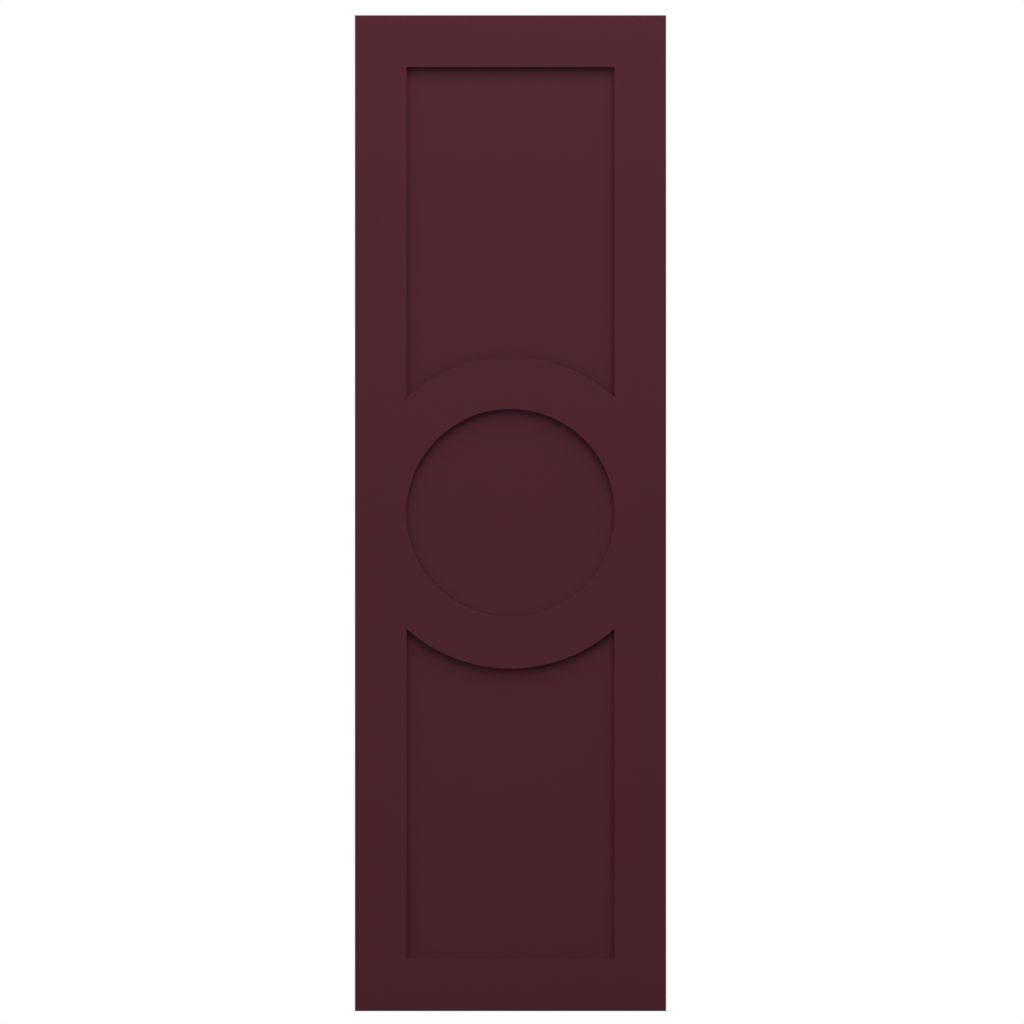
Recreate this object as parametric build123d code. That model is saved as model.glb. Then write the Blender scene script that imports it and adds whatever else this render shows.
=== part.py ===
from build123d import *
import os

# Exterior shutter with a flat face frame and a round recess at mid-height, for fixing to a wall.
# X runs across the shutter, Z is up and the face looks along -Y.
# The back lies on the wall at Y = 0, and the origin is the middle of the back.

# Driving sizes, in millimetres
shutter_width = 381.0
shutter_height = 1219.2
stile_width = 63.5  # the real face width of a nominal 1 by 3 trim board
rail_width = 63.5
ring_band = 63.5  # board left between the round recess and the long recesses
board_thickness = 19.05
sheet_thickness = 6.35
rebate_width = 12.7  # step in the back of the boards that the sheet lies in
sheet_play = 0.4  # gap left round the sheet, on each side
round_overcut = 0.4  # the round recess is cut after gluing and runs this far into each stile
arris = 0.8  # the edges that a hand can reach are sanded back this far, at 45 degrees

# Lines that the boards, the openings and the sheet share
half_width = shutter_width / 2
half_height = shutter_height / 2
stile_edge = half_width - stile_width
rail_edge = half_height - rail_width
round_radius = stile_edge + round_overcut
arch_radius = stile_edge + ring_band
rebate_edge = stile_edge + rebate_width
rebate_reach = rail_edge + rebate_width


def block(low, high):
    """A box between two opposite corners."""
    size = [h - l for l, h in zip(low, high)]
    return Pos(*low) * Box(*size, align=(Align.MIN, Align.MIN, Align.MIN))


def long_recesses():
    """The two long openings: the field between the boards, less the disc that carries the round recess."""
    return Rectangle(2 * stile_edge, 2 * rail_edge) - Circle(arch_radius)


def glued_frame():
    """All the boards as one piece, with its openings cut and its edges still sharp."""
    blank = block((-half_width, -board_thickness, -half_height), (half_width, 0, half_height))
    openings = Plane.XZ * (long_recesses() + Circle(round_radius))
    seat = block(
        (-rebate_edge, -sheet_thickness, -rebate_reach), (rebate_edge, 0, rebate_reach)
    )
    return blank - extrude(openings, amount=board_thickness) - seat


def hand_edges(frame):
    """The edges of the face and its openings, the four long corners, and the outline of the back."""
    face = frame.faces().sort_by(Axis.Y)[0]
    back = frame.faces().filter_by(Axis.Y).sort_by(Axis.Y)[-1]
    corners = frame.edges().filter_by(Axis.Y).group_by(lambda edge: abs(edge.center().X))[-1]
    return face.edges() + back.outer_wire().edges() + corners


def stile_blank(side):
    """The L-shaped board that a stile is cut from, on the left (side -1) or the right (side 1)."""
    section = Polyline(
        (side * half_width, 0),
        (side * rebate_edge, 0),
        (side * rebate_edge, -sheet_thickness),
        (side * stile_edge, -sheet_thickness),
        (side * stile_edge, -board_thickness),
        (side * half_width, -board_thickness),
        close=True,
    )
    board = extrude(make_face(section), amount=shutter_height)
    return Pos(0, 0, -half_height) * board


def boards():
    """The frame eased by hand and then parted at its glue lines, as named boards."""
    frame = glued_frame()
    frame = chamfer(hand_edges(frame), arris)
    left_blank = stile_blank(-1)
    right_blank = stile_blank(1)
    across = (frame - left_blank - right_blank).solids().sort_by(Axis.Z)
    names = ("bottom_rail", "lower_arch_rail", "upper_arch_rail", "top_rail")
    named = dict(zip(names, across, strict=True))
    named["left_stile"] = frame & left_blank
    named["right_stile"] = frame & right_blank
    return named


def back_sheet():
    """The plain sheet that closes all three recesses, set flush into the back of the boards."""
    half_across = rebate_edge - sheet_play
    half_up = rebate_reach - sheet_play
    return block((-half_across, -sheet_thickness, -half_up), (half_across, 0, half_up))


parts = boards()
parts["back_sheet"] = back_sheet()

os.makedirs("parts", exist_ok=True)
for name, part in parts.items():
    part.label = name
    export_step(part, f"parts/{name}.step")
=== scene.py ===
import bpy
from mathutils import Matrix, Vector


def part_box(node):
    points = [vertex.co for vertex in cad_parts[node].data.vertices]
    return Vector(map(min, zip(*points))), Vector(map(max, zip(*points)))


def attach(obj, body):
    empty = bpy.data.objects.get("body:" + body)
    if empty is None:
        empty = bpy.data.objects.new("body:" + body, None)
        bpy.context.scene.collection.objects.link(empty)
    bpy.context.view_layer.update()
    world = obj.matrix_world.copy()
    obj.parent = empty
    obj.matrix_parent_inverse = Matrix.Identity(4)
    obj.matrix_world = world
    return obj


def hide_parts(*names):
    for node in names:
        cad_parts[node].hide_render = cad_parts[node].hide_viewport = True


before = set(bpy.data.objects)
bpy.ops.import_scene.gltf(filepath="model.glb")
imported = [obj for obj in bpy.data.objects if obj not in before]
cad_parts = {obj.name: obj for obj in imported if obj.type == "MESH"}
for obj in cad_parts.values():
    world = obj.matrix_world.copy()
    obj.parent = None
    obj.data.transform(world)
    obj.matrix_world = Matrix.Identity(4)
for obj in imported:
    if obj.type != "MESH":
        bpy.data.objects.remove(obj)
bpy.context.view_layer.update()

import logging
import math
from dataclasses import dataclass, field
from enum import Enum

import bmesh
import bpy
import numpy as np
from mathutils import Vector

LOG = logging.getLogger("shutter")
BODY = "root"
WELD = 2e-7  # metres: nearer points are one point
CRISP = math.radians(32)  # faces that meet at more than this keep a crisp edge between them
QUARTER = math.pi / 2
WHITE = (1.0, 1.0, 1.0, 1.0)


# Sizes


@dataclass(frozen=True)
class ShutterSizes:
    """The lines that the boards, openings and sheet share, in metres, about the middle of the back."""

    half_width: float
    half_height: float
    stile_edge: float
    rail_edge: float
    rebate_edge: float
    board: float
    sheet: float
    sheet_play: float
    ring_band: float = 0.0635
    overcut: float = 0.0004  # the round recess runs this far into each stile
    arris: float = 0.0005
    arris_steps: int = 6
    guard: float = 0.0005  # a narrow strip beside each arris, which keeps the flat beyond it flat
    tip_points: int = 10
    joint_points: int = 36
    corner_points: int = 7

    @classmethod
    def of_nodes(cls) -> "ShutterSizes":
        """Reads the straight lines off the boxes of the model's nodes.

        Returns:
            The sizes. A rail's tongues reach from one rebate to the other, an arch rail reaches from one
            stile's inner edge to the other's, and the sheet stops short of the rebate by its play.
        """
        stile_low, stile_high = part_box("right_stile")
        rail_low, rail_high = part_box("top_rail")
        arch_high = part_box("upper_arch_rail")[1]
        sheet_low, sheet_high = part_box("back_sheet")
        return cls(
            half_width=stile_high.x,
            half_height=stile_high.z,
            stile_edge=arch_high.x,
            rail_edge=rail_low.z,
            rebate_edge=rail_high.x,
            board=-stile_low.y,
            sheet=-sheet_low.y,
            sheet_play=rail_high.x - sheet_high.x,
        )

    @property
    def round_radius(self) -> float:
        """Radius of the round recess."""
        return self.stile_edge + self.overcut

    @property
    def arch_radius(self) -> float:
        """Radius of the outer edge of the arch rails."""
        return self.stile_edge + self.ring_band

    @property
    def arch_corner(self) -> float:
        """Height at which the outer edge of an arch rail meets a stile."""
        return math.sqrt(self.arch_radius**2 - self.stile_edge**2)

    @property
    def arch_tip(self) -> float:
        """Height at which the round recess meets a stile."""
        return math.sqrt(self.round_radius**2 - self.stile_edge**2)

    @property
    def rebate_reach(self) -> float:
        """Distance of the step in a rail's back from the middle."""
        return self.rail_edge + self.rebate_edge - self.stile_edge

    def quarter(self) -> np.ndarray:
        """Angles of the points round an arris, from its first face to its second."""
        return np.linspace(0.0, QUARTER, self.arris_steps + 1)

    def arris_insets(self) -> np.ndarray:
        """Distances in from an edge to the points of its quarter round: the arris by one less the cosine."""
        return self.arris * (1 - np.cos(self.quarter()))

    def opening_distance(self, x: np.ndarray, z: np.ndarray) -> np.ndarray:
        """Distance of a point of the face beyond the nearest opening.

        A long recess is what lies inside the stile lines, inside the rail line and outside the arch circle,
        so a point is beyond it by the greatest of its three distances beyond those lines. The round recess is
        a circle. The nearer of the two openings counts.

        Args:
            x: Places across the shutter.
            z: Heights.

        Returns:
            The distances, positive on the boards.
        """
        radius = np.hypot(x, z)
        beyond = np.maximum(np.abs(x) - self.stile_edge, np.abs(z) - self.rail_edge)
        beyond = np.maximum(beyond, self.arch_radius - radius)
        return np.minimum(beyond, radius - self.round_radius)

    def face_lift(self, x: np.ndarray, z: np.ndarray) -> np.ndarray:
        """How far the face falls back beside an opening: a quarter round as wide and deep as the arris.

        Args:
            x: Places across the shutter.
            z: Heights.

        Returns:
            The distance behind the flat of the face at each point.
        """
        inset = np.clip(self.opening_distance(x, z), 0.0, self.arris)
        return self.arris - np.sqrt(self.arris**2 - (self.arris - inset) ** 2)

    def joint_heights(self) -> np.ndarray:
        """Places the points that a stile and an arch rail share along their joint.

        Returns:
            Heights from the tip to the corner, closer together where an arris crosses the joint.
        """
        near_tip = math.sqrt((self.round_radius + self.arris) ** 2 - self.stile_edge**2)
        near_corner = math.sqrt((self.arch_radius - self.arris) ** 2 - self.stile_edge**2)
        return np.concatenate([
            np.linspace(self.arch_tip, near_tip, self.tip_points),
            np.linspace(near_tip, near_corner, self.joint_points)[1:-1],
            np.linspace(near_corner, self.arch_corner, self.corner_points),
        ])


SIZES = ShutterSizes.of_nodes()


# Meshes

Points = np.ndarray | tuple[float, float] | list[tuple[float, float]]


class Shell:
    """Gathers the surfaces of one piece and closes them into one mesh."""

    def __init__(self, name: str) -> None:
        """Starts an empty shell.

        Args:
            name: The piece's name.
        """
        self.name = name
        self.points: list[np.ndarray] = []
        self.faces: list[list[int]] = []
        self.count = 0

    def add_grid(self, grid: np.ndarray, around: bool = False) -> None:
        """Adds a surface given as rows of points, with a face between neighbouring rows and columns.

        Args:
            grid: Points, as rows by columns by three.
            around: Whether the last column joins the first.
        """
        rows, columns = grid.shape[:2]
        index = self.count + np.arange(rows * columns).reshape(rows, columns)
        if around:
            index = np.hstack([index, index[:, :1]])
        quads = np.stack([index[:-1, :-1], index[:-1, 1:], index[1:, 1:], index[1:, :-1]], -1)
        self.faces += quads.reshape(-1, 4).tolist()
        self.points.append(grid.reshape(-1, 3))
        self.count += rows * columns

    def add_outline(self, outline: np.ndarray) -> None:
        """Adds one flat face.

        Args:
            outline: Its corners in turn, as points by three.
        """
        self.faces.append(list(range(self.count, self.count + len(outline))))
        self.points.append(outline)
        self.count += len(outline)

    def build(self) -> bpy.types.Object:
        """Welds the surfaces where they meet and makes the object.

        Returns:
            The closed piece at the origin, its faces outwards, smooth over its arrises and crisp elsewhere.
        """
        mesh = bpy.data.meshes.new(self.name)
        mesh.from_pydata(np.concatenate(self.points).tolist(), [], self.faces)
        shell = bmesh.new()
        shell.from_mesh(mesh)
        bmesh.ops.remove_doubles(shell, verts=shell.verts, dist=WELD)
        bmesh.ops.recalc_face_normals(shell, faces=shell.faces)
        open_edges = sum(not edge.is_manifold for edge in shell.edges)
        if open_edges:
            raise ValueError(f"{self.name} has {open_edges} open edges")
        shell.to_mesh(mesh)
        shell.free()
        mesh.shade_smooth()
        mesh.set_sharp_from_angle(angle=CRISP)
        piece = bpy.data.objects.new(self.name, mesh)
        bpy.context.scene.collection.objects.link(piece)
        flats = piece.modifiers.new("flats_lead", "WEIGHTED_NORMAL")
        flats.keep_sharp = True
        return piece


@dataclass
class SectionLoop:
    """The outline of a section as a core, set in from the edges by the arris, and a reach out from it.

    A point of the section is its core plus its reach. At a board's end the reach shrinks with the cosine
    while the board runs on with the sine, which rounds the end's edges and makes each outer corner an eighth
    of a ball.
    """

    core: list[np.ndarray] = field(default_factory=list)
    reach: list[np.ndarray] = field(default_factory=list)

    def add(self, core: Points, reach: Points = (0.0, 0.0)) -> None:
        """Adds points of the section.

        Args:
            core: One point, or points by two.
            reach: The reach of each of them, or one for all.
        """
        points = np.atleast_2d(np.asarray(core, dtype=float))
        self.core.append(points)
        self.reach.append(np.broadcast_to(np.asarray(reach, dtype=float), points.shape))

    def add_round(self, core: tuple[float, float], radius: float, start: float, steps: int) -> None:
        """Adds a quarter round about one core point.

        The reach of its points is the radius times the cosine and sine of the angle.

        Args:
            core: The middle of the round.
            radius: Its radius.
            start: Direction of its first point, in radians, from which it turns left.
            steps: Faces round it.
        """
        turn = start + np.linspace(0.0, QUARTER, steps + 1)
        reach = radius * np.stack([np.cos(turn), np.sin(turn)], -1)
        self.add(np.broadcast_to(core, reach.shape), reach)

    def count(self) -> int:
        """How many points the section has so far."""
        return sum(len(points) for points in self.core)

    def at(self, share: np.ndarray) -> np.ndarray:
        """The points as stations by points by two, with that share of the reach at each station."""
        return np.concatenate(self.core)[None] + share[:, None, None] * np.concatenate(self.reach)[None]


# Boards


class Side(Enum):
    """Which side of the middle a stile stands on."""

    LEFT = -1
    RIGHT = 1


class End(Enum):
    """Which end of the shutter a rail lies towards."""

    LOWER = -1
    UPPER = 1


@dataclass
class Stile:
    """An upright board: an L-shaped section carried up the whole height, lapped behind for the sheet."""

    node: str
    side: Side
    sizes: ShutterSizes = SIZES
    lip_points: int = 9  # sections from the middle of the round recess to its tip
    least_band: float = 1 / 3  # share of the arris that its points keep where the recess crowds them

    def section(self) -> tuple[SectionLoop, int]:
        """The section of a right-hand stile, seen from above.

        Returns:
            The outline from the inner edge across the face, round the outer edges and back along the rebate,
            and how many of its points lie on the face.
        """
        s = self.sizes
        face = -s.board + s.arris
        outer = s.half_width - s.arris
        flat = [s.stile_edge + s.arris + s.guard, (s.stile_edge + s.half_width) / 2, outer - s.guard]
        across = np.concatenate([s.stile_edge + s.arris_insets(), flat])
        loop = SectionLoop()
        loop.add(np.stack([across, np.full_like(across, face)], -1), (0.0, -s.arris))
        on_face = loop.count()
        loop.add_round((outer, face), s.arris, -QUARTER, s.arris_steps)
        loop.add([(outer, face + s.guard), (outer, -s.arris - s.guard)], (s.arris, 0.0))
        loop.add_round((outer, -s.arris), s.arris, 0.0, s.arris_steps)
        loop.add([(outer - s.guard, -s.arris), (s.rebate_edge, -s.arris)], (0.0, s.arris))
        loop.add([(s.rebate_edge, -s.sheet), (s.stile_edge, -s.sheet)])
        return loop, on_face

    def stations(self) -> tuple[np.ndarray, np.ndarray]:
        """The heights of the sections, and the share of their reach that each one has.

        Returns:
            Heights from the foot to the top, closer together at the round recess, at the corners of the long
            recesses and round the ends, and the shares, which are 1 except round the ends.
        """
        s = self.sizes
        end = s.half_height - s.arris
        body = np.concatenate([
            np.linspace(0.0, s.arch_tip, self.lip_points)[:-1],
            s.joint_heights(),
            [s.arch_corner + s.guard, s.rail_edge - s.guard],
            s.rail_edge + s.arris_insets(),
            [s.rail_edge + s.arris + s.guard, end - s.guard],
        ])
        half = np.concatenate([body, end + s.arris * np.sin(s.quarter())])
        share = np.concatenate([np.ones(len(body)), np.cos(s.quarter())])
        return np.concatenate([-half[:0:-1], half]), np.concatenate([share[:0:-1], share])

    def build(self) -> bpy.types.Object:
        """Carries the section up the stations, easing the inner edge where it borders an opening.

        Returns:
            The stile as one closed piece.
        """
        s = self.sizes
        loop, on_face = self.section()
        heights, share = self.stations()
        points = loop.at(share)
        z = heights[:, None]
        lip = np.sqrt(np.maximum(s.round_radius**2 - z**2, s.stile_edge**2))
        eased_to = np.sqrt(np.maximum((s.round_radius + s.arris) ** 2 - z**2, s.stile_edge**2))
        band = np.maximum(eased_to - lip, s.arris * self.least_band)
        band[np.abs(z) > s.arch_corner - s.arris] = s.arris
        eased = s.arris_steps + 1
        points[:, :eased, 0] = lip + band * (s.arris_insets() / s.arris)[None]
        points[:, eased, 0] = (lip + band)[:, 0] + s.guard
        points[:, -1, 0] = lip[:, 0]
        up = np.broadcast_to(z, points.shape[:2])
        points[:, :on_face, 1] += s.face_lift(points[:, :on_face, 0], up[:, :on_face])
        grid = np.stack([self.side.value * points[..., 0], points[..., 1], up], -1)
        shell = Shell(self.node + ".board")
        shell.add_grid(grid, around=True)
        shell.add_outline(grid[0])
        shell.add_outline(grid[-1])
        return shell.build()


@dataclass
class Rail:
    """A board across one end: a section carried between the stiles, with a tongue that laps behind each."""

    node: str
    end: End
    sizes: ShutterSizes = SIZES
    across_points: int = 9

    def section(self) -> tuple[np.ndarray, int]:
        """The section of the top rail between the stiles, as depth and height.

        Returns:
            The outline from the foot of the opening's wall, round the rebate, up the back, over the top and
            down the face, and the index of its point on the top where the tongue's front begins.
        """
        s = self.sizes
        top = s.half_height - s.arris
        face = -s.board + s.arris
        loop = SectionLoop()
        loop.add([(-s.sheet, s.rail_edge), (-s.sheet, s.rebate_reach)])
        loop.add([(0.0, s.rebate_reach), (0.0, top - s.guard)])
        loop.add_round((-s.arris, top), s.arris, 0.0, s.arris_steps)
        loop.add((-s.arris - s.guard, s.half_height))
        tongue_front = loop.count()
        loop.add([(-s.sheet, s.half_height), (face + s.guard, s.half_height)])
        loop.add_round((face, top), s.arris, QUARTER, s.arris_steps)
        flat = [top - s.guard, (top + s.rail_edge) / 2, s.rail_edge + s.arris + s.guard]
        heights = np.concatenate([flat, s.rail_edge + s.arris_insets()[::-1]])
        loop.add(np.stack([s.face_lift(np.zeros_like(heights), heights) - s.board, heights], -1))
        return loop.at(np.ones(1))[0], tongue_front

    def carried(self, outline: np.ndarray, places: np.ndarray) -> np.ndarray:
        """The outline carried across the shutter.

        Args:
            outline: Depths and heights.
            places: Where it stops, across the shutter.

        Returns:
            Points as places by outline by three.
        """
        x = np.broadcast_to(places[:, None], (len(places), len(outline)))
        y = np.broadcast_to(outline[:, 0], x.shape)
        z = np.broadcast_to(self.end.value * outline[:, 1], x.shape)
        return np.stack([x, y, z], -1)

    def build(self) -> bpy.types.Object:
        """Carries the section between the stiles and adds a stepped end and a tongue at each.

        Returns:
            The rail as one closed piece.
        """
        s = self.sizes
        outline, tongue_front = self.section()
        tongue = outline[1:tongue_front + 1]
        step = np.concatenate([outline[tongue_front:], outline[:2]])
        shell = Shell(self.node + ".board")
        between = np.linspace(-s.stile_edge, s.stile_edge, self.across_points)
        shell.add_grid(self.carried(outline, between), around=True)
        for side in Side:
            ends = side.value * np.array([s.stile_edge, s.rebate_edge])
            shell.add_outline(self.carried(step, ends[:1])[0])
            shell.add_grid(self.carried(tongue, ends), around=True)
            shell.add_outline(self.carried(tongue, ends[1:])[0])
        return shell.build()


@dataclass
class ArchRail:
    """A curved board over or under the round recess, with a tip where the recess meets each stile."""

    node: str
    end: End
    sizes: ShutterSizes = SIZES
    arc_steps: int = 96
    room: float = 2.0  # the points close up where the board is narrower than this many pairs of its edges

    def angles(self) -> np.ndarray:
        """Angles of the sections about the middle of the recess.

        Returns:
            The angles from the right-hand tip over the crown to the left-hand tip. Along the joints they meet
            the stile's stations, and along the free arc they are even.
        """
        s = self.sizes
        joint = np.arctan2(s.joint_heights(), s.stile_edge)
        free = np.linspace(joint[-1], math.pi - joint[-1], self.arc_steps + 1)[1:-1]
        return np.concatenate([joint, free, math.pi - joint[::-1]])

    def radii(self, angles: np.ndarray) -> np.ndarray:
        """Radii of the points across the face at each angle.

        The outer edge is the arch circle, or the stile line where that is nearer, at the stile's distance
        over the cosine. The points crowd into the arrises at both edges, and where the board is narrow they
        all close up in proportion.

        Args:
            angles: Angles of the sections.

        Returns:
            Radii from the inner edge to the outer, as angles by points.
        """
        s = self.sizes
        outer = s.stile_edge / np.maximum(np.abs(np.cos(angles)), s.stile_edge / s.arch_radius)
        span = np.maximum(outer - s.round_radius, 0.0)[:, None]
        insets = np.append(s.arris_insets(), s.arris + s.guard)[None]
        close = np.minimum(1.0, span / (self.room * 2 * (s.arris + s.guard)))
        inner_part = s.round_radius + insets * close
        outer_part = s.round_radius + span - insets[:, ::-1] * close
        return np.concatenate([inner_part, s.round_radius + span / 2, outer_part], 1)

    def build(self) -> bpy.types.Object:
        """Makes the face as radius against angle, and its two walls and flat back.

        Returns:
            The curved rail as one closed piece.
        """
        s = self.sizes
        angles = self.angles()
        radii = self.radii(angles)
        turn = angles[:, None]
        depth = s.face_lift(radii * np.cos(turn), radii * np.sin(turn)) - s.board
        back = np.full((len(angles), 2), -s.sheet)
        radii = np.concatenate([radii, radii[:, -1:], radii[:, :1]], 1)
        depth = np.concatenate([depth, back], 1)
        grid = np.stack([radii * np.cos(turn), depth, self.end.value * radii * np.sin(turn)], -1)
        shell = Shell(self.node + ".board")
        shell.add_grid(grid, around=True)
        return shell.build()


@dataclass
class BackSheet:
    """The plain sheet behind the recesses, let into the backs of the boards with a narrow gap all round."""

    node: str = "back_sheet"
    ease: float = 0.0003
    ease_steps: int = 3
    sizes: ShutterSizes = SIZES

    def build(self) -> bpy.types.Object:
        """Carries a flat section, eased at its back edges, up the sheet's height.

        Returns:
            The sheet as one closed piece.
        """
        s = self.sizes
        across = s.rebate_edge - s.sheet_play - self.ease
        up = s.rebate_reach - s.sheet_play - self.ease
        loop = SectionLoop()
        loop.add((-across, -s.sheet), (-self.ease, 0.0))
        loop.add([(-s.stile_edge, -s.sheet), (0.0, -s.sheet), (s.stile_edge, -s.sheet)])
        loop.add((across, -s.sheet), (self.ease, 0.0))
        loop.add_round((across, -self.ease), self.ease, 0.0, self.ease_steps)
        loop.add_round((-across, -self.ease), self.ease, QUARTER, self.ease_steps)
        turn = np.linspace(0.0, QUARTER, self.ease_steps + 1)
        body = np.array([0.0, s.arch_radius, s.rail_edge])
        half = np.concatenate([body, up + self.ease * np.sin(turn)])
        share = np.concatenate([np.ones_like(body), np.cos(turn)])
        heights = np.concatenate([-half[:0:-1], half])
        points = loop.at(np.concatenate([share[:0:-1], share]))
        z = np.broadcast_to(heights[:, None], points.shape[:2])
        grid = np.stack([points[..., 0], points[..., 1], z], -1)
        shell = Shell(self.node + ".board")
        shell.add_grid(grid, around=True)
        shell.add_outline(grid[0])
        shell.add_outline(grid[-1])
        return shell.build()


class Recess(Enum):
    """The three recesses of the face."""

    UPPER = "upper"
    ROUND = "round"
    LOWER = "lower"


@dataclass
class PaintFillet:
    """The fine hollow of paint that bridges the corner between a recess's walls and the sheet."""

    recess: Recess
    radius: float = 0.0005
    sunk: float = 0.00004
    hollow_steps: int = 5
    arc_steps: int = 96
    sizes: ShutterSizes = SIZES

    def profile(self) -> tuple[np.ndarray, np.ndarray]:
        """The section of the fillet.

        Returns:
            Distances in from the wall, and heights above the sheet: a hollow quarter circle from the wall
            down to the sheet, closed by a corner that is sunk a little into both.
        """
        turn = np.linspace(0.0, QUARTER, self.hollow_steps + 1)
        inward = self.radius * (1 - np.cos(turn))
        height = self.radius * (1 - np.sin(turn))
        inward = np.concatenate([[-self.sunk], inward, [self.radius, -self.sunk]])
        height = np.concatenate([[self.radius], height, [-self.sunk, -self.sunk]])
        return inward, height

    def outline(self, inward: np.ndarray) -> np.ndarray:
        """The outline of the recess drawn in by each distance.

        The round recess is a circle of lesser radius. A long recess has its straight sides moved in and the
        arch circle's radius grown by the distance, and its corners lie where those lines cross.

        Args:
            inward: Distances in from the walls.

        Returns:
            Points across and up, as stations by distances by two, the last station joining the first.
        """
        s = self.sizes
        t = inward[None]
        if self.recess is Recess.ROUND:
            turn = np.linspace(0.0, 4 * QUARTER, 2 * self.arc_steps + 1)[:, None]
            return np.stack([(s.round_radius - t) * np.cos(turn), (s.round_radius - t) * np.sin(turn)], -1)
        edge = s.stile_edge - t
        top = s.rail_edge - t
        arch = s.arch_radius + t
        corner = np.arccos(edge / arch)
        turn = corner + np.linspace(0.0, 1.0, self.arc_steps + 1)[:, None] * (2 * QUARTER - 2 * corner)
        arc = np.stack([arch * np.cos(turn), arch * np.sin(turn)], -1)
        left = np.stack([-edge, top], -1)
        right = np.stack([edge, top], -1)
        path = np.concatenate([left, right, arc, left])
        flip = -1.0 if self.recess is Recess.LOWER else 1.0
        return path * np.array([1.0, flip])

    def build(self) -> bpy.types.Object:
        """Carries the section round the outline.

        Returns:
            The fillet as one closed ring.
        """
        inward, height = self.profile()
        path = self.outline(inward)
        depth = np.broadcast_to(-self.sizes.sheet - height, path.shape[:2])
        grid = np.stack([path[..., 0], depth, path[..., 1]], -1)
        shell = Shell(self.recess.value + "_recess.paint_fillet")
        shell.add_grid(grid, around=True)
        return shell.build()


# Node groups

Socket = bpy.types.NodeSocket
Feed = Socket | float | tuple[float, ...]


class NodeWeb:
    """Places and joins the nodes of one material, world or node group."""

    def __init__(self, tree: bpy.types.NodeTree) -> None:
        """Works on that tree."""
        self.tree = tree

    def node(self, kind: str, **settings: str) -> bpy.types.Node:
        """Adds a node.

        Args:
            kind: Its type.
            **settings: Its settings by name.

        Returns:
            The node.
        """
        node = self.tree.nodes.new(kind)
        for name, value in settings.items():
            setattr(node, name, value)
        return node

    def feed(self, socket: Socket, value: Feed) -> None:
        """Joins an input to another socket, or writes a plain value on it.

        Args:
            socket: The input.
            value: The other socket, or the value.
        """
        if isinstance(value, Socket):
            self.tree.links.new(value, socket)
        else:
            socket.default_value = value

    def feed_all(self, node: bpy.types.Node, feeds: dict[str, Feed]) -> None:
        """Feeds a node's inputs by their names."""
        for label, value in feeds.items():
            self.feed(node.inputs[label], value)

    def maths(self, operation: str, *values: Feed) -> Socket:
        """Works out one operation.

        Args:
            operation: Its name in Blender.
            *values: The one to three values that it works on.

        Returns:
            The result.
        """
        node = self.node("ShaderNodeMath", operation=operation)
        for socket, value in zip(node.inputs, values):
            self.feed(socket, value)
        return node.outputs[0]

    def ramp(self, value: Feed, low: Feed, high: Feed, start: float = 0.0, stop: float = 1.0) -> Socket:
        """Carries a value smoothly from start at low to stop at high.

        Args:
            value: What is measured.
            low: Where the change begins.
            high: Where it ends.
            start: The result up to low.
            stop: The result from high on.

        Returns:
            The result.
        """
        node = self.node("ShaderNodeMapRange", interpolation_type="SMOOTHSTEP")
        ends = {"From Min": low, "From Max": high, "To Min": start, "To Max": stop}
        self.feed_all(node, {"Value": value, **ends})
        return node.outputs["Result"]

    def noise(self, place: Socket, waves: float, detail: float) -> Socket:
        """Adds even noise.

        Args:
            place: Where it is read.
            waves: How many waves lie in a metre.
            detail: How many layers of finer waves are added to them.

        Returns:
            Values from 0 to 1 about one half.
        """
        node = self.node("ShaderNodeTexNoise")
        self.feed_all(node, {"Vector": place, "Scale": waves, "Detail": detail})
        return node.outputs["Fac"]

    def scaled(self, color: Socket, gain: Feed) -> Socket:
        """Scales a colour.

        Args:
            color: The colour.
            gain: What multiplies it.

        Returns:
            The scaled colour.
        """
        node = self.node("ShaderNodeVectorMath", operation="SCALE")
        self.feed_all(node, {"Vector": color, "Scale": gain})
        return node.outputs["Vector"]

    def mixed(self, share: Feed, first: Socket, second: Socket) -> Socket:
        """Mixes two shaders.

        Args:
            share: The share of the second one.
            first: The first shader.
            second: The second shader.

        Returns:
            The mixed shader.
        """
        node = self.node("ShaderNodeMixShader")
        for socket, value in zip(node.inputs, (share, first, second)):
            self.feed(socket, value)
        return node.outputs["Shader"]

    def group(self, tree: bpy.types.NodeTree, feeds: dict[str, Feed]) -> dict[str, Socket]:
        """Adds a node group.

        Args:
            tree: The group.
            feeds: What goes into each of its inputs, by name.

        Returns:
            Its outputs by name.
        """
        node = self.node("ShaderNodeGroup")
        node.node_tree = tree
        self.feed_all(node, feeds)
        return {socket.name: socket for socket in node.outputs}


def node_group(
    name: str, takes: dict[str, str], gives: dict[str, str]
) -> tuple[NodeWeb, dict[str, Socket], dict[str, Socket]]:
    """Starts a shader node group with named sockets.

    Args:
        name: The group's name.
        takes: The kind of each input by its name.
        gives: The kind of each output by its name.

    Returns:
        The web to build in, the group's inputs as sockets to read, and its outputs as sockets to feed.
    """
    tree = bpy.data.node_groups.new(name, "ShaderNodeTree")
    for label, kind in takes.items():
        tree.interface.new_socket(name=label, in_out="INPUT", socket_type="NodeSocket" + kind)
    for label, kind in gives.items():
        tree.interface.new_socket(name=label, in_out="OUTPUT", socket_type="NodeSocket" + kind)
    web = NodeWeb(tree)
    reads = web.node("NodeGroupInput").outputs
    writes = web.node("NodeGroupOutput").inputs
    return web, {label: reads[label] for label in takes}, {label: writes[label] for label in gives}


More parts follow.
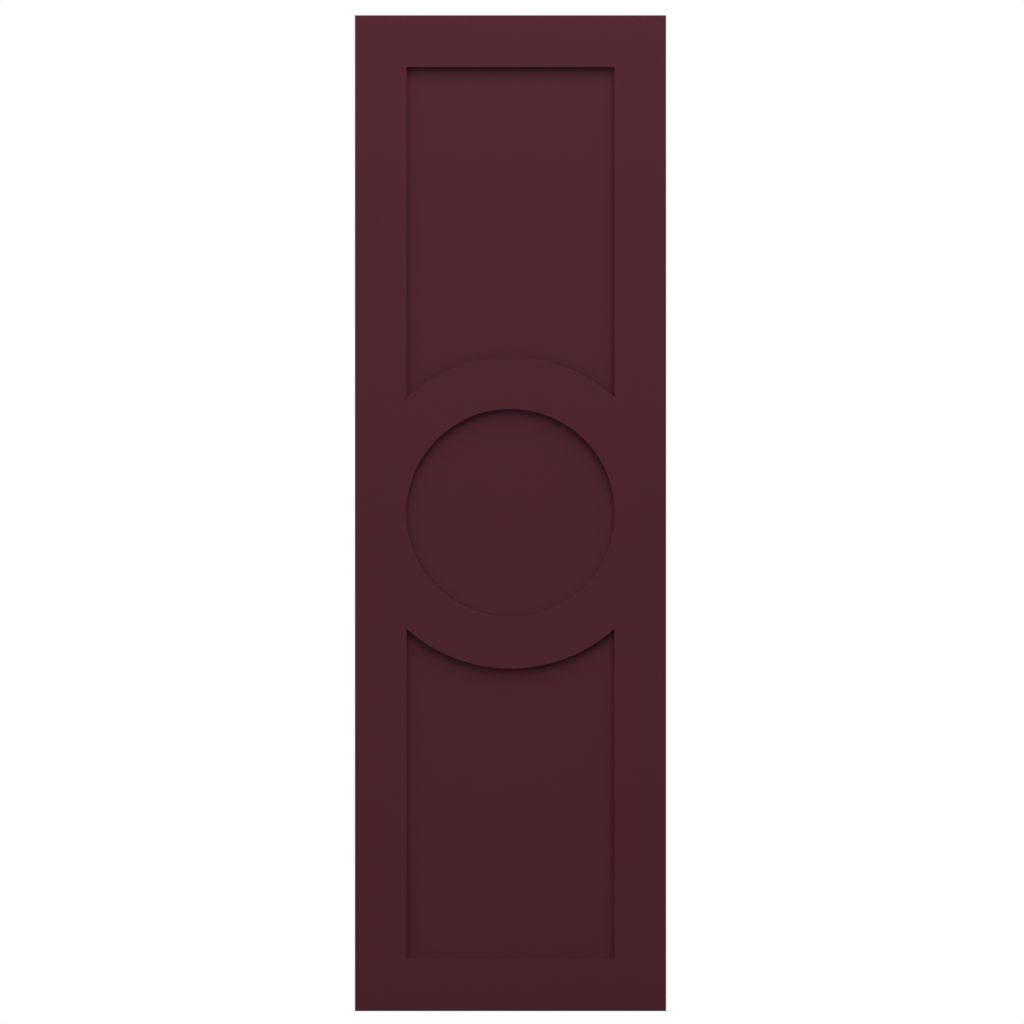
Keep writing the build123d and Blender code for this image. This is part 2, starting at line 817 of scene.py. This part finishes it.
def opening_lines(sizes: ShutterSizes) -> bpy.types.NodeTree:
    """The group that measures how far a point lies beyond the openings and inside the outline.

    Args:
        sizes: The lines of the openings and the outline.

    Returns:
        A group that takes a position and gives both distances and the depth behind the face, in metres.
    """
    web, take, give = node_group(
        "opening_lines", {"Position": "Vector"}, {"Opening": "Float", "Outline": "Float", "Depth": "Float"}
    )
    parts = web.node("ShaderNodeSeparateXYZ")
    web.feed(parts.inputs[0], take["Position"])
    across = web.maths("ABSOLUTE", parts.outputs["X"])
    up = web.maths("ABSOLUTE", parts.outputs["Z"])
    radius = web.maths("SQRT", web.maths("ADD", web.maths("POWER", across, 2.0), web.maths("POWER", up, 2.0)))
    beyond_stile = web.maths("SUBTRACT", across, sizes.stile_edge)
    beyond_rail = web.maths("SUBTRACT", up, sizes.rail_edge)
    beyond_arch = web.maths("SUBTRACT", sizes.arch_radius, radius)
    beyond_long = web.maths("MAXIMUM", web.maths("MAXIMUM", beyond_stile, beyond_rail), beyond_arch)
    beyond_round = web.maths("SUBTRACT", radius, sizes.round_radius)
    web.feed(give["Opening"], web.maths("MINIMUM", beyond_long, beyond_round))
    inside_width = web.maths("SUBTRACT", sizes.half_width, across)
    inside_height = web.maths("SUBTRACT", sizes.half_height, up)
    web.feed(give["Outline"], web.maths("MINIMUM", inside_width, inside_height))
    web.feed(give["Depth"], web.maths("ADD", parts.outputs["Y"], sizes.board))
    return web.tree


def arris_shade_film(
    waves: float = 60.0, detail: float = 3.0, sparse: float = 0.35, full: float = 0.7
) -> bpy.types.NodeTree:
    """The group that finds the sanded edges of the face, where the paint draws thinner and is darkened as
    painted shade that dims their highlight.

    Args:
        waves: How many waves to a metre break the film up along the edges.
        detail: How many layers of finer waves are added to them.
        sparse: The noise value up to which the film is whole and carries no painted shade.
        full: The noise value from which it is at its thinnest and most darkened.

    Returns:
        A group that takes a position, the distances and a width, and gives a mask broken up along the edges.
    """
    lengths = dict.fromkeys(("Opening", "Outline", "Depth", "Width"), "Float")
    web, take, give = node_group("arris_shade_film", {"Position": "Vector", **lengths}, {"Mask": "Float"})
    edge = web.maths("MINIMUM", take["Opening"], take["Outline"])
    from_edge = web.maths("ADD", web.maths("ABSOLUTE", edge), web.maths("ABSOLUTE", take["Depth"]))
    near = web.ramp(from_edge, 0.0, take["Width"], 1.0, 0.0)
    patchy = web.ramp(web.noise(take["Position"], waves, detail), sparse, full)
    web.feed(give["Mask"], web.maths("MULTIPLY", near, patchy))
    return web.tree


def corner_shade_film(sizes: ShutterSizes, start: float = 0.5, stop: float = 0.85) -> bpy.types.NodeTree:
    """The group that finds the foot of the recess walls, where sprayed paint gathers and the paint is
    darkened as painted shade.

    Args:
        sizes: The depth of the walls.
        start: The share of that depth at which the film and its painted shade begin to gather.
        stop: The share at which they have gathered.

    Returns:
        A group that takes the distances and a width, and gives a mask on the sheet and the fillets.
    """
    wall = sizes.board - sizes.sheet
    takes = {"Opening": "Float", "Depth": "Float", "Width": "Float"}
    web, take, give = node_group("corner_shade_film", takes, {"Mask": "Float"})
    inside = web.maths("MULTIPLY", take["Opening"], -1.0)
    foot = web.ramp(inside, 0.0, take["Width"], 1.0, 0.0)
    deep = web.ramp(take["Depth"], start * wall, stop * wall)
    web.feed(give["Mask"], web.maths("MULTIPLY", foot, deep))
    return web.tree


def glue_lines(sizes: ShutterSizes, whole_at: float = 2.0) -> bpy.types.NodeTree:
    """The group that finds the hairlines where a stile and a rail are glued, under the paint.

    The lines run along both stile edges on the face, but not beside an opening, and along the ends of the
    tongues behind.

    Args:
        sizes: The stile, rebate and sheet lines.
        whole_at: How many line widths beyond an opening a line on the face is whole.

    Returns:
        A group that takes a position, the opening distance and a width, and gives a mask.
    """
    takes = {"Position": "Vector", "Opening": "Float", "Width": "Float"}
    web, take, give = node_group("glue_lines", takes, {"Mask": "Float"})
    parts = web.node("ShaderNodeSeparateXYZ")
    web.feed(parts.inputs[0], take["Position"])
    across = web.maths("ABSOLUTE", parts.outputs["X"])
    in_front = web.maths("LESS_THAN", parts.outputs["Y"], -sizes.sheet)
    line = web.ramp(in_front, 0.0, 1.0, sizes.rebate_edge, sizes.stile_edge)
    off_line = web.maths("ABSOLUTE", web.maths("SUBTRACT", across, line))
    near = web.ramp(off_line, 0.0, take["Width"], 1.0, 0.0)
    clear = web.ramp(take["Opening"], take["Width"], web.maths("MULTIPLY", take["Width"], whole_at))
    behind = web.maths("SUBTRACT", 1.0, in_front)
    web.feed(give["Mask"], web.maths("MULTIPLY", near, web.maths("MAXIMUM", behind, clear)))
    return web.tree


def orange_peel(
    dimples: float = 420.0,
    dimple_detail: float = 1.5,
    swells: float = 45.0,
    swell_detail: float = 1.0,
    swell_size: float = 2.5,
) -> bpy.types.NodeTree:
    """The group that ripples sprayed paint: close dimples over a slower swell.

    Args:
        dimples: How many dimples lie in a metre.
        dimple_detail: How many layers of finer dimples are added to them.
        swells: How many waves of the swell lie in a metre.
        swell_detail: How many layers of finer waves are added to them.
        swell_size: The height of the swell where that of a dimple is one.

    Returns:
        A group that takes a position and a height in metres, and gives a normal.
    """
    takes = {"Position": "Vector", "Height": "Float"}
    web, take, give = node_group("orange_peel", takes, {"Normal": "Vector"})
    close = web.noise(take["Position"], dimples, dimple_detail)
    slow = web.noise(take["Position"], swells, swell_detail)
    relief = web.maths("MULTIPLY_ADD", slow, swell_size, close)
    bump = web.node("ShaderNodeBump")
    web.feed_all(bump, {"Height": relief, "Distance": take["Height"]})
    web.feed(give["Normal"], bump.outputs["Normal"])
    return web.tree


def tone_drift(
    broad_waves: float = 5.0,
    broad_detail: float = 3.0,
    fine_waves: float = 160.0,
    fine_detail: float = 4.0,
    fine: float = 0.35,
) -> bpy.types.NodeTree:
    """The group that varies a film of paint slightly in lightness from place to place.

    The drift is twice the sum of a broad and a fine noise, each by its share, less one. The colour is
    multiplied by one plus the drift times the amount.

    Args:
        broad_waves: How many waves of the broad drift lie in a metre.
        broad_detail: How many layers of finer waves are added to them.
        fine_waves: How many waves of the fine drift lie in a metre.
        fine_detail: How many layers of finer waves are added to them.
        fine: The fine drift's share of the whole.

    Returns:
        A group that takes a position, a colour and an amount, and gives the colour and a drift of -1 to 1.
    """
    takes = {"Position": "Vector", "Color": "Color", "Amount": "Float"}
    web, take, give = node_group("tone_drift", takes, {"Color": "Color", "Drift": "Float"})
    broad_noise = web.noise(take["Position"], broad_waves, broad_detail)
    broad_part = web.maths("MULTIPLY", broad_noise, 1.0 - fine)
    fine_noise = web.noise(take["Position"], fine_waves, fine_detail)
    both = web.maths("MULTIPLY_ADD", fine_noise, fine, broad_part)
    drift = web.maths("MULTIPLY_ADD", both, 2.0, -1.0)
    gain = web.maths("MULTIPLY_ADD", drift, take["Amount"], 1.0)
    web.feed(give["Color"], web.scaled(take["Color"], gain))
    web.feed(give["Drift"], drift)
    return web.tree


# Finishes


class PaintGroups:
    """The node groups that the paint is mixed from, each built once."""

    def __init__(self, sizes: ShutterSizes) -> None:
        """Builds the groups.

        Args:
            sizes: The lines that some of them measure from.
        """
        self.lines = opening_lines(sizes)
        # painted shade: a mask that darkens the arrises, dimming their highlight
        self.arris = arris_shade_film()
        # painted shade: a mask that darkens the foot of the recess walls
        self.corner = corner_shade_film(sizes)
        self.glue = glue_lines(sizes)
        self.peel = orange_peel()
        self.tone = tone_drift()


@dataclass(frozen=True)
class SatinPaint:
    """A sprayed satin paint: its colour and sheen, how far the film varies, and the painted shade that
    darkens its arrises and recess corners.
    """

    name: str = "wine_satin_paint"
    color: tuple[float, float, float] = (0.0672, 0.0137, 0.0209)
    # painted shade: darkens the arrises, dimming their highlight
    arris_shade_gain: float = 0.96
    # painted shade: darkens the foot of the recess walls
    corner_shade_gain: float = 0.97
    glue_gain: float = 0.95
    roughness: float = 0.46
    ior: float = 1.5
    specular: float = 0.06
    drift: float = 0.02
    sheen_drift: float = 0.05
    peel_height: float = 0.00002
    arris_shade_width: float = 0.0013
    # how far the painted shade in the recess corners reaches
    corner_shade_width: float = 0.0016
    glue_width: float = 0.00012

    def material(self, groups: PaintGroups) -> bpy.types.Material:
        """Mixes the paint.

        Args:
            groups: The node groups.

        Returns:
            The material.
        """
        material = bpy.data.materials.new(self.name)
        material.use_nodes = True
        material.diffuse_color = (*self.color, 1.0)
        web = NodeWeb(material.node_tree)
        web.tree.nodes.clear()
        place = {"Position": web.node("ShaderNodeTexCoord").outputs["Object"]}
        lines = web.group(groups.lines, place)
        opening = {"Opening": lines["Opening"]}
        depth = {"Depth": lines["Depth"]}
        edges = {"Outline": lines["Outline"], "Width": self.arris_shade_width}
        # painted shade on the arrises, dimming their highlight
        arris_shade = web.group(groups.arris, {**place, **opening, **depth, **edges})["Mask"]
        # painted shade at the foot of the recess walls
        corner_shade = web.group(groups.corner, {**opening, **depth, "Width": self.corner_shade_width})["Mask"]
        glued = web.group(groups.glue, {**place, **opening, "Width": self.glue_width})["Mask"]
        tone = web.group(groups.tone, {**place, "Color": (*self.color, 1.0), "Amount": self.drift})
        color = tone["Color"]
        # the arris and corner gains are painted shade; the glue gain darkens the joints
        for mask, gain in ((arris_shade, self.arris_shade_gain), (corner_shade, self.corner_shade_gain), (glued, self.glue_gain)):
            color = web.scaled(color, web.maths("MULTIPLY_ADD", mask, gain - 1.0, 1.0))
        paint = web.node("ShaderNodeBsdfPrincipled")
        web.feed_all(paint, {
            "Base Color": color,
            "Roughness": web.maths("MULTIPLY_ADD", tone["Drift"], self.sheen_drift, self.roughness),
            "IOR": self.ior,
            "Specular IOR Level": self.specular,
            "Normal": web.group(groups.peel, {**place, "Height": self.peel_height})["Normal"],
        })
        web.feed(web.node("ShaderNodeOutputMaterial").inputs["Surface"], paint.outputs["BSDF"])
        return material


# Studio


@dataclass(frozen=True)
class Softbox:
    """A soft lamp turned to the middle of the shutter, as bright as its share of the light there."""

    name: str
    place: tuple[float, float, float]
    width: float
    height: float
    share: float

    def build(self) -> None:
        """Adds the lamp, unseen by the camera.

        Its power is pi squared times its share, times its distance squared, over the cosine of the light's
        slant on the face, so that all the shares add up to a level at which a colour renders as written.
        """
        place = Vector(self.place)
        slant = abs(place.y) / place.length
        lamp = bpy.data.lights.new(self.name, "AREA")
        lamp.shape = "RECTANGLE"
        lamp.size = self.width
        lamp.size_y = self.height
        lamp.energy = math.pi**2 * self.share * place.length_squared / slant
        made = bpy.data.objects.new(self.name, lamp)
        made.location = place
        made.rotation_euler = (-place).to_track_quat("-Z", "Y").to_euler()
        made.visible_camera = False
        bpy.context.scene.collection.objects.link(made)


@dataclass
class Studio:
    """A white room with a plain pale floor, soft lamps, and the camera square on to the shutter's face."""

    softboxes: tuple[Softbox, ...] = (
        Softbox("key", (0.5, -3.48, 2.5), 2.8, 3.2, 0.495),
        Softbox("fill", (-1.86, -3.0, 0.2), 2.5, 1.4, 0.13),
        Softbox("top_strip", (0.11, -0.59, 1.21), 1.3, 0.45, 0.113),
        Softbox("low_panel", (0.06, -0.73, -0.32), 1.0, 0.62, 0.092),
        Softbox("rear_key", (-1.2, 2.8, 3.0), 2.8, 2.4, 0.45),
        Softbox("rear_fill", (3.2, 1.4, 1.0), 2.2, 1.8, 0.12),
    )
    ambient: float = 0.28
    floor_radius: float = 7.0
    floor_sides: int = 96
    floor_height: float = -0.75
    floor_seen: float = 0.9  # its grey to the eye
    floor_bounce: float = 0.12  # its grey to the light that it throws back
    fade_start: float = 0.12  # the floor turns to white between these shares of its radius
    fade_stop: float = 0.65
    camera_distance: float = 40.0
    picture_width: float = 1.25368
    picture_middle: tuple[float, float] = (0.00179, 0.00145)
    sensor_width: float = 36.0  # millimetres
    near: float = 0.1  # the camera draws what lies between these distances
    far: float = 200.0
    face: float = -SIZES.board

    def seen(self, web: NodeWeb) -> Socket:
        """Tells the rays that see a surface from the rays that carry light from it.

        Args:
            web: The web to work in.

        Returns:
            One where a ray comes from the camera, a mirror or a glass, and nought elsewhere.
        """
        path = web.node("ShaderNodeLightPath").outputs
        mirrored = web.maths("MAXIMUM", path["Is Glossy Ray"], path["Is Transmission Ray"])
        return web.maths("MAXIMUM", path["Is Camera Ray"], mirrored)

    def light_world(self) -> None:
        """Makes the surroundings white to see and an even dim grey to light by."""
        world = bpy.data.worlds.new("white_room")
        world.use_nodes = True
        web = NodeWeb(world.node_tree)
        web.tree.nodes.clear()
        glow = web.node("ShaderNodeBackground")
        strength = web.maths("MULTIPLY_ADD", self.seen(web), 1.0 - self.ambient, self.ambient)
        web.feed_all(glow, {"Color": WHITE, "Strength": strength})
        web.feed(web.node("ShaderNodeOutputWorld").inputs["Surface"], glow.outputs["Background"])
        bpy.context.scene.world = world

    def floor_material(self) -> bpy.types.Material:
        """Mixes the floor's finish.

        Returns:
            A matt grey that is pale to see and keeps the shadow, that fades to white towards the floor's rim,
            that throws little light back up, and that is clear from below.
        """
        material = bpy.data.materials.new("pale_floor")
        material.use_nodes = True
        web = NodeWeb(material.node_tree)
        web.tree.nodes.clear()
        seen = self.seen(web)
        grey = web.maths("MULTIPLY_ADD", seen, self.floor_seen - self.floor_bounce, self.floor_bounce)
        matt = web.node("ShaderNodeBsdfDiffuse")
        web.feed(matt.inputs["Color"], grey)
        glow = web.node("ShaderNodeEmission")
        away = web.node("ShaderNodeVectorMath", operation="LENGTH")
        web.feed(away.inputs["Vector"], web.node("ShaderNodeTexCoord").outputs["Object"])
        start = self.fade_start * self.floor_radius
        fade = web.ramp(away.outputs["Value"], start, self.fade_stop * self.floor_radius)
        above = web.mixed(web.maths("MULTIPLY", fade, seen), matt.outputs["BSDF"], glow.outputs["Emission"])
        below = web.maths("MULTIPLY", web.node("ShaderNodeNewGeometry").outputs["Backfacing"], seen)
        clear = web.node("ShaderNodeBsdfTransparent").outputs["BSDF"]
        surface = web.mixed(below, above, clear)
        web.feed(web.node("ShaderNodeOutputMaterial").inputs["Surface"], surface)
        return material

    def lay_floor(self) -> None:
        """Lays a round floor a little below the shutter."""
        turn = np.linspace(0.0, 4 * QUARTER, self.floor_sides + 1)[:-1]
        rim = np.stack([np.cos(turn), np.sin(turn), np.zeros_like(turn)], -1) * self.floor_radius
        mesh = bpy.data.meshes.new("floor")
        mesh.from_pydata(rim.tolist(), [], [list(range(self.floor_sides))])
        mesh.materials.append(self.floor_material())
        floor = bpy.data.objects.new("floor", mesh)
        floor.location.z = self.floor_height
        bpy.context.scene.collection.objects.link(floor)

    def place_camera(self) -> None:
        """Puts the camera where the photograph was taken from: level, far off and square on to the face."""
        lens = bpy.data.cameras.new("front")
        lens.sensor_width = self.sensor_width
        lens.lens = self.sensor_width * self.camera_distance / self.picture_width
        lens.clip_start = self.near
        lens.clip_end = self.far
        camera = bpy.data.objects.new("front", lens)
        across, up = self.picture_middle
        camera.location = (across, self.face - self.camera_distance, up)
        camera.rotation_euler = (QUARTER, 0.0, 0.0)
        bpy.context.scene.collection.objects.link(camera)
        bpy.context.scene.camera = camera

    def build(self) -> None:
        """Lights the room, lays the floor and sets the camera."""
        bpy.context.scene.view_settings.view_transform = "Standard"
        self.light_world()
        self.lay_floor()
        for softbox in self.softboxes:
            softbox.build()
        self.place_camera()


# The shutter


@dataclass
class Shutter:
    """The whole shutter, painted all over after it was glued."""

    sizes: ShutterSizes = SIZES
    paint: SatinPaint = SatinPaint()

    def boards(self) -> list[Stile | Rail | ArchRail | BackSheet]:
        """Lists the pieces that stand for the nodes of the model.

        Returns:
            The sheet, the stiles and the rails.
        """
        return [
            BackSheet(sizes=self.sizes),
            Stile("left_stile", Side.LEFT, self.sizes),
            Stile("right_stile", Side.RIGHT, self.sizes),
            Rail("bottom_rail", End.LOWER, self.sizes),
            Rail("top_rail", End.UPPER, self.sizes),
            ArchRail("lower_arch_rail", End.LOWER, self.sizes),
            ArchRail("upper_arch_rail", End.UPPER, self.sizes),
        ]

    def dress(self, piece: bpy.types.Object, paint: bpy.types.Material) -> None:
        """Paints a piece and joins it to the body.

        Args:
            piece: The finished piece, at the origin.
            paint: Its material.
        """
        piece.data.materials.append(paint)
        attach(piece, BODY)
        LOG.info("%s: %d faces", piece.name, len(piece.data.polygons))

    def build(self) -> None:
        """Builds the boards, the sheet and the paint in the corners."""
        paint = self.paint.material(PaintGroups(self.sizes))
        for board in self.boards():
            piece = board.build()
            self.dress(piece, paint)
            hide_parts(board.node)
        for recess in Recess:
            self.dress(PaintFillet(recess, sizes=self.sizes).build(), paint)


def main() -> None:
    """Builds the shutter and the studio."""
    logging.basicConfig(level=logging.INFO, format="%(name)s: %(message)s")
    Shutter().build()
    Studio().build()


if __name__ == "__main__":
    main()
